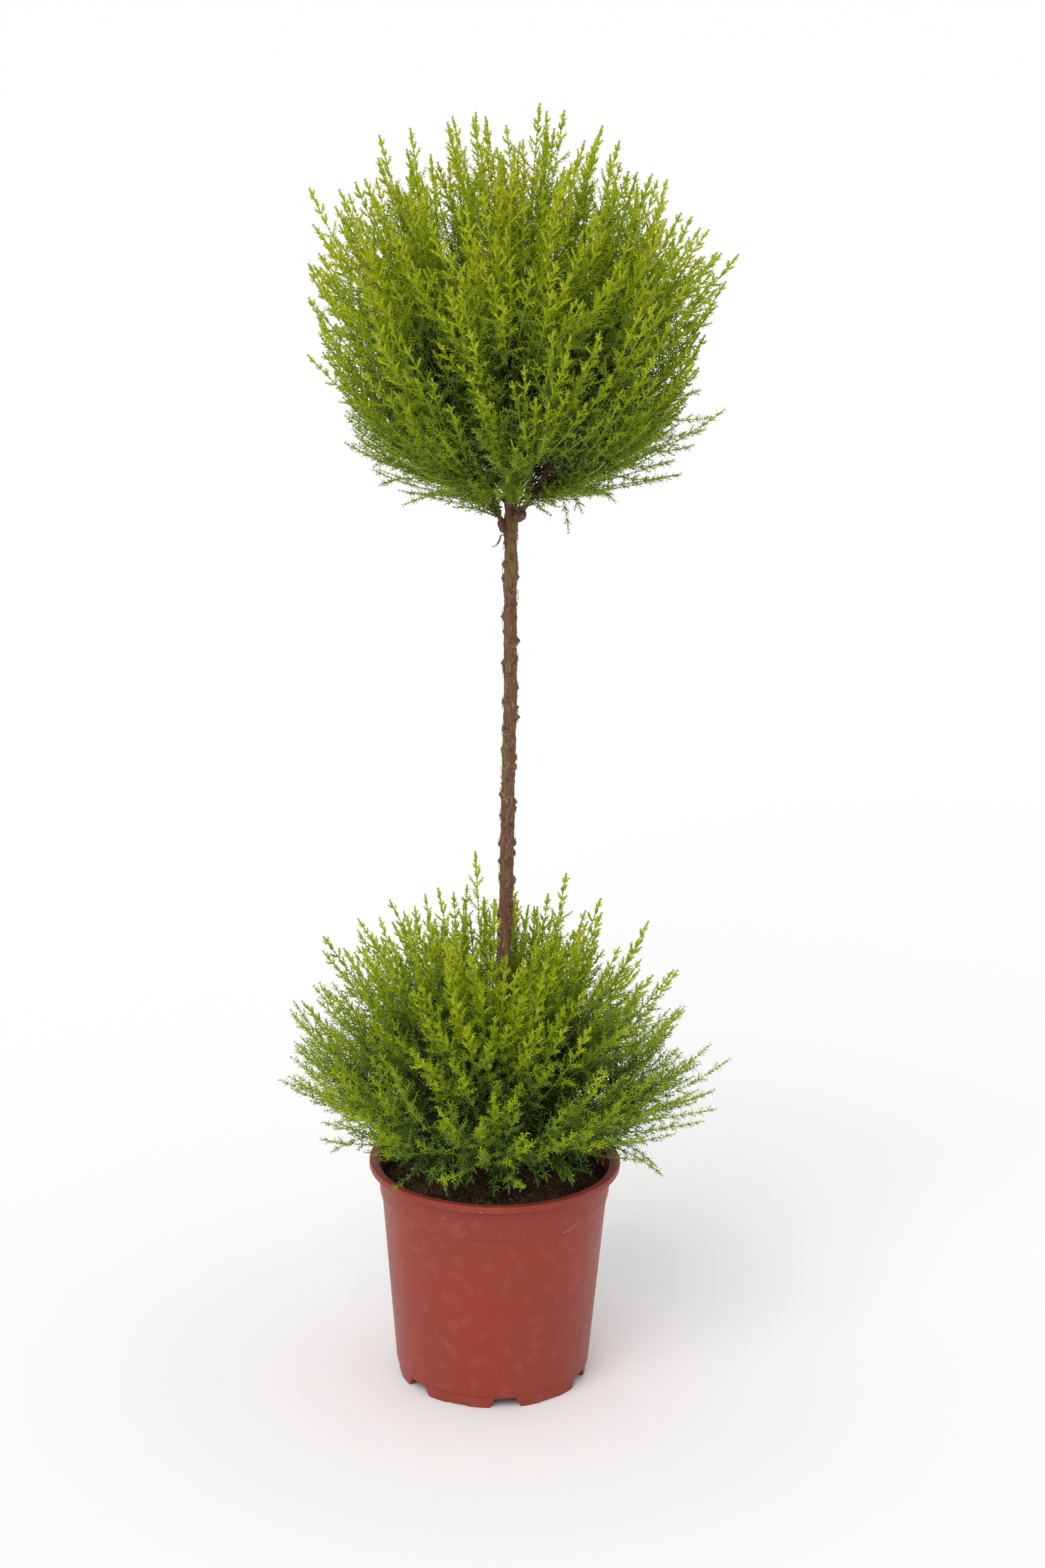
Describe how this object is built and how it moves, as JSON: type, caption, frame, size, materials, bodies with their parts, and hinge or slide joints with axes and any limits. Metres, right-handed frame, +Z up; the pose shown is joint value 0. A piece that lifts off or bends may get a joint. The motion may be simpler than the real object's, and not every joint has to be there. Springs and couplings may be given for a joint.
{
  "type": "potted lemon cypress",
  "caption": "Lemon cypress trained as stacked balls of foliage on a bare stem, standing in a terracotta-coloured plastic nursery pot.",
  "frame": {"origin": "on the floor, under the middle of the whole plant's bounding box; the pot's own axis is 11.5 mm to the -X side of it", "axes": "+Z up, +X to the right in the picture, which was taken from the -Y side"},
  "size_m": [0.3317, 0.3121, 0.9613],
  "materials": {
    "pot_plastic": "satin moulded terracotta-coloured plastic",
    "peat": "damp crumbly peat with moss",
    "trunk_bark": "smooth olive-brown bark with pruning scars",
    "bough_bark": "reddish brown bark",
    "upper_needles": "bright yellow-green needles",
    "lower_needles": "yellow-green needles"
  },
  "bodies": {
    "root": {"lower_bough_inner_1": "bough_bark", "lower_bough_inner_2": "bough_bark", "lower_bough_inner_3": "bough_bark", "lower_bough_inner_4": "bough_bark", "lower_bough_inner_5": "bough_bark", "lower_bough_outer_1": "bough_bark", "lower_bough_outer_2": "bough_bark", "lower_bough_outer_3": "bough_bark", "lower_bough_outer_4": "bough_bark", "lower_bough_outer_5": "bough_bark", "lower_bough_outer_6": "bough_bark", "lower_bough_outer_7": "bough_bark", "lower_bough_outer_8": "bough_bark", "lower_foliage_inner_1": "lower_needles", "lower_foliage_inner_2": "lower_needles", "lower_foliage_inner_3": "lower_needles", "lower_foliage_inner_4": "lower_needles", "lower_foliage_inner_5": "lower_needles", "lower_foliage_outer_1": "lower_needles", "lower_foliage_outer_2": "lower_needles", "lower_foliage_outer_3": "lower_needles", "lower_foliage_outer_4": "lower_needles", "lower_foliage_outer_5": "lower_needles", "lower_foliage_outer_6": "lower_needles", "lower_foliage_outer_7": "lower_needles", "lower_foliage_outer_8": "lower_needles", "pot": "pot_plastic", "soil": "peat", "trunk": "trunk_bark", "upper_bough_inner_1": "bough_bark", "upper_bough_inner_2": "bough_bark", "upper_bough_inner_3": "bough_bark", "upper_bough_inner_4": "bough_bark", "upper_bough_inner_5": "bough_bark", "upper_bough_outer_1": "bough_bark", "upper_bough_outer_2": "bough_bark", "upper_bough_outer_3": "bough_bark", "upper_bough_outer_4": "bough_bark", "upper_bough_outer_5": "bough_bark", "upper_bough_outer_6": "bough_bark", "upper_bough_outer_7": "bough_bark", "upper_bough_outer_8": "bough_bark", "upper_foliage_centre": "upper_needles", "upper_foliage_inner_1": "upper_needles", "upper_foliage_inner_2": "upper_needles", "upper_foliage_inner_3": "upper_needles", "upper_foliage_inner_4": "upper_needles", "upper_foliage_inner_5": "upper_needles", "upper_foliage_outer_1": "upper_needles", "upper_foliage_outer_2": "upper_needles", "upper_foliage_outer_3": "upper_needles", "upper_foliage_outer_4": "upper_needles", "upper_foliage_outer_5": "upper_needles", "upper_foliage_outer_6": "upper_needles", "upper_foliage_outer_7": "upper_needles", "upper_foliage_outer_8": "upper_needles"}
  },
  "joints": []
}
